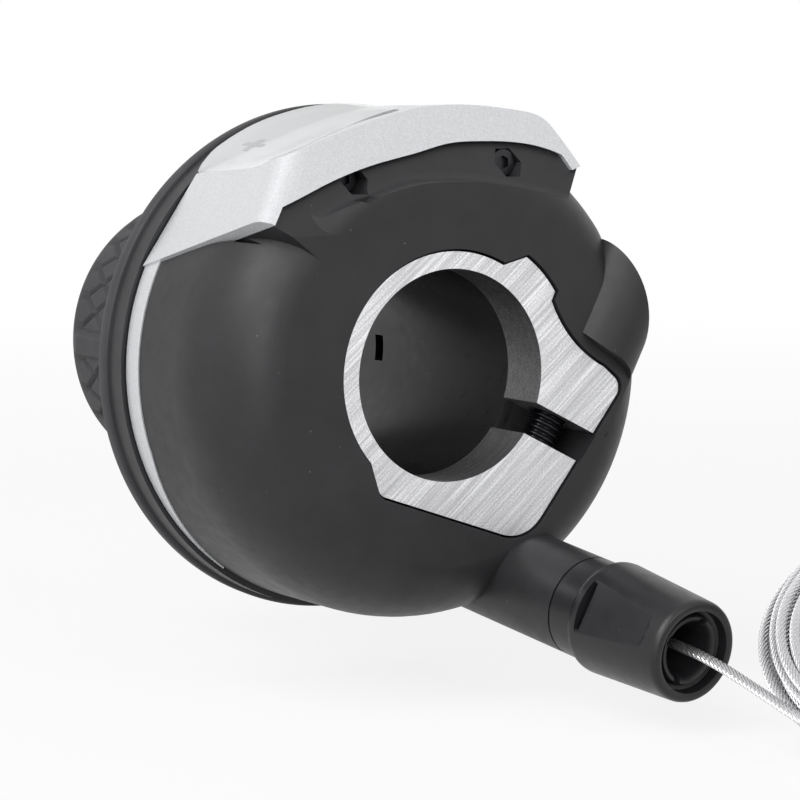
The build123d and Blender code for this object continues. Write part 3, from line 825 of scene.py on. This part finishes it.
WINDOW_BACK_X = -21.7
WINDOW_STATIONS = [
    (130.9, -20.6, 131.2, 27.55), (130.6, -16.4, 129.6, 27.85), (129.9, -12.4, 127.8, 28.0),
    (128.7, -8.9, 125.6, 28.15), (125.0, -7.0, 122.0, 28.15), (119.4, -7.1, 117.5, 28.1),
    (114.4, -8.2, 113.5, 28.05), (105.6, -9.66, 106.0, 27.9), (96.5, -11.4, 98.0, 27.82),
    (91.0, -12.3, 92.0, 27.78), (86.6, -13.2, 87.0, 27.7),
]
WINDOW_STEPS = 10
WINDOW_ROWS = 24
WINDOW_LAP = 0.03
WINDOW_DEPTH = 0.5
WINDOW_THICKNESS = 1.6
RAY_START = 45.0
RAY_END = 15.0


def through(values, at):
    """Smooth curve through equally spaced rows of values."""
    index = min(int(at), len(values) - 2)
    share = at - index
    before = values[max(index - 1, 0)]
    low, high = values[index], values[index + 1]
    after = values[min(index + 2, len(values) - 1)]
    result = []
    for a, b, c, d in zip(before, low, high, after):
        result.append(0.5 * (2 * b + (c - a) * share + (2 * a - 5 * b + 4 * c - d) * share ** 2
                             + (3 * b - a - 3 * c + d) * share ** 3))
    return result


def cover_surface():
    """Function that gives the radius of the cover or window at x and an angle."""
    graph = bpy.context.evaluated_depsgraph_get()
    trees = []
    for name in ("top_cover", "window_lens"):
        node = nodes[name]
        trees.append((BVHTree.FromObject(node, graph), node.matrix_world.inverted()))

    def radius(x, degrees):
        outside = around(x, RAY_START, degrees)
        inside = around(x, RAY_END, degrees)
        reach = (inside - outside).length
        found = None
        for tree, to_node in trees:
            origin = to_node @ outside
            direction = ((to_node @ inside) - origin).normalized()
            distance = tree.ray_cast(origin, direction, reach)[3]
            if distance is not None and (found is None or distance < found):
                found = distance
        return None if found is None else RAY_START - found / MM
    return radius


def window_top(surface):
    """Function that gives x, top radius, angle and lower radius at a place on the window."""
    front = []
    for front_angle, front_x, back_angle, back_radius in WINDOW_STATIONS:
        base = surface(front_x, front_angle)
        front.append((front_angle, front_x, base, back_angle, back_radius))

    def place(along, back):
        front_angle, front_x, front_radius, back_angle, back_radius = through(front, along)
        degrees = front_angle + (back_angle - front_angle) * back
        x = front_x + (WINDOW_BACK_X - front_x) * back
        radius = front_radius + (back_radius - front_radius) * back
        base = surface(x, degrees)
        under = radius - WINDOW_THICKNESS if base is None else base
        return x, max(radius, under) + WINDOW_LAP, degrees, under - WINDOW_DEPTH
    return place


def slab_faces(columns, rows, first=0):
    """Faces of a slab whose two layers of points each run column by column."""
    wide = rows + 1
    count = (columns + 1) * wide
    faces = []
    for column in range(columns):
        for row in range(rows):
            corner = first + column * wide + row
            face = (corner, corner + 1, corner + wide + 1, corner + wide)
            faces.append(face)
            faces.append(tuple(count + index for index in reversed(face)))
    rim = list(range(wide)) + [column * wide + rows for column in range(1, columns + 1)]
    rim += [columns * wide + row for row in reversed(range(rows))]
    rim += [column * wide for column in reversed(range(1, columns))]
    for index, corner in enumerate(rim):
        following = rim[(index + 1) % len(rim)]
        faces.append((first + corner, first + following, first + count + following,
                      first + count + corner))
    return faces


def make_window():
    top = window_top(cover_surface())
    columns = (len(WINDOW_STATIONS) - 1) * WINDOW_STEPS
    upper = []
    lower = []
    for column in range(columns + 1):
        for row in range(WINDOW_ROWS + 1):
            x, radius, degrees, under = top(column / WINDOW_STEPS, row / WINDOW_ROWS)
            upper.append(around(x, radius, degrees))
            lower.append(around(x, under, degrees))
    faces = slab_faces(columns, WINDOW_ROWS)
    piece = new_mesh("window_skin", upper + lower, faces, materials["lens"])
    tidy_normals(piece, 30)
    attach(piece, "base")
    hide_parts("window_lens")
    return top


PLUS_ALONG = 4.25
PLUS_BACK = 0.56
PLUS_ARMS = (2.0, 1.3)
PLUS_STROKES = (0.5, 0.32)
PLUS_STEPS = (8, 4)


def make_window_mark(top):
    """Plus printed on the outside of the window."""
    x, radius, degrees = top(PLUS_ALONG, PLUS_BACK)[:3]
    long_x, long_turn = PLUS_ARMS
    stroke_x, stroke_turn = PLUS_STROKES
    steps_x, steps_turn = PLUS_STEPS
    cells = [(-long_x, long_x, -stroke_turn, stroke_turn),
             (-stroke_x, stroke_x, stroke_turn, long_turn),
             (-stroke_x, stroke_x, -long_turn, -stroke_turn)]
    graph = bpy.context.evaluated_depsgraph_get()
    skin = BVHTree.FromObject(bpy.data.objects["window_skin"], graph)
    vertices = []
    faces = []
    for left, right, low, high in cells:
        faces += slab_faces(steps_x, steps_turn, len(vertices))
        for lift in (-0.02, 0.025):
            for step_x in range(steps_x + 1):
                for step_turn in range(steps_turn + 1):
                    at_x = x + left + (right - left) * step_x / steps_x
                    away = low + (high - low) * step_turn / steps_turn
                    turn = degrees + math.degrees(away / radius)
                    outside = around(at_x, 40.0, turn)
                    inwards = (around(at_x, 15.0, turn) - outside).normalized()
                    hit = skin.ray_cast(outside, inwards)[0]
                    vertices.append(hit - inwards * lift * MM)
    piece = new_mesh("window_plus", vertices, faces, materials["print"], smooth=False)
    tidy_normals(piece, 30)
    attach(piece, "base")


# Floor and light

def seen_rays(tree):
    """1 for rays from the camera, off a glossy surface or through glass."""
    path = tree.nodes.new("ShaderNodeLightPath")
    total = path.outputs["Is Camera Ray"]
    for name in ("Is Glossy Ray", "Is Transmission Ray"):
        either = add(tree, "ShaderNodeMath", operation="MAXIMUM")
        tree.links.new(total, either.inputs[0])
        tree.links.new(path.outputs[name], either.inputs[1])
        total = either.outputs[0]
    return total


FLOOR_GAP = 0.0002
FLOOR_SIZE = 4.0
FLOOR_GREY = 0.86
FLOOR_WHITE_NEAR = 0.84
FLOOR_FADE = (0.12, 0.55)


def make_stage():
    """Pale floor that keeps the shadow near the object and turns white away from it."""
    floor_z = cad_box[0][2] - FLOOR_GAP
    size = FLOOR_SIZE
    corners = [(-size, -size, floor_z), (size, -size, floor_z), (size, size, floor_z),
               (-size, size, floor_z)]
    material, tree, shader = new_material("pale_floor")
    shader.inputs["Base Color"].default_value = (FLOOR_GREY, FLOOR_GREY, FLOOR_GREY, 1.0)
    shader.inputs["Roughness"].default_value = 0.7
    output = tree.nodes["Material Output"]
    white = add(tree, "ShaderNodeEmission", Strength=1.0)
    mix = tree.nodes.new("ShaderNodeMixShader")
    place = tree.nodes.new("ShaderNodeTexCoord")
    away = add(tree, "ShaderNodeVectorMath", operation="LENGTH")
    tree.links.new(place.outputs["Object"], away.inputs[0])
    fade = add(tree, "ShaderNodeMapRange", interpolation_type="SMOOTHSTEP")
    fade.inputs["From Min"].default_value = FLOOR_FADE[0]
    fade.inputs["From Max"].default_value = FLOOR_FADE[1]
    fade.inputs["To Min"].default_value = FLOOR_WHITE_NEAR
    fade.inputs["To Max"].default_value = 1.0
    tree.links.new(away.outputs["Value"], fade.inputs["Value"])
    share = add(tree, "ShaderNodeMath", operation="MULTIPLY")
    tree.links.new(fade.outputs["Result"], share.inputs[1])
    tree.links.new(seen_rays(tree), share.inputs[0])
    tree.links.new(share.outputs[0], mix.inputs[0])
    tree.links.new(shader.outputs[0], mix.inputs[1])
    tree.links.new(white.outputs[0], mix.inputs[2])
    tree.links.new(mix.outputs[0], output.inputs["Surface"])
    floor = new_mesh("floor", corners, [(0, 1, 2, 3)], material, smooth=False)


WORLD_LEVEL = 0.20
LIGHTS = [
    ("key", (0.05, -0.50, 0.50), (0.35, 0.5), 3.6),
    ("front", (0.45, -0.45, 0.25), (0.4, 0.4), 2.1),
    ("fill", (0.60, 0.10, 0.35), (0.4, 0.4), 1.0),
]


def area_light(name, place, size, power):
    """Soft lamp that points at the origin."""
    data = bpy.data.lights.new(name, "AREA")
    data.shape = "RECTANGLE"
    data.size = size[0]
    data.size_y = size[1]
    data.energy = power
    lamp = bpy.data.objects.new(name, data)
    lamp.location = Vector(place)
    lamp.rotation_euler = (-Vector(place)).to_track_quat("-Z", "Y").to_euler()
    bpy.context.scene.collection.objects.link(lamp)


def make_world():
    world = bpy.data.worlds.new("studio")
    bpy.context.scene.world = world
    world.use_nodes = True
    tree = world.node_tree
    background = tree.nodes["Background"]
    background.inputs["Color"].default_value = (1.0, 1.0, 1.0, 1.0)
    background.inputs["Strength"].default_value = WORLD_LEVEL
    white = add(tree, "ShaderNodeBackground", Strength=1.0)
    white.inputs["Color"].default_value = (1.0, 1.0, 1.0, 1.0)
    mix = tree.nodes.new("ShaderNodeMixShader")
    tree.links.new(seen_rays(tree), mix.inputs[0])
    tree.links.new(background.outputs[0], mix.inputs[1])
    tree.links.new(white.outputs[0], mix.inputs[2])
    tree.links.new(mix.outputs[0], tree.nodes["World Output"].inputs["Surface"])


make_camera()
make_cable()
make_grip()
make_screw()
make_barrel()
make_marks()
make_window_mark(make_window())
make_stage()
make_world()
for light in LIGHTS:
    area_light(*light)
bpy.context.scene.view_settings.view_transform = "Standard"
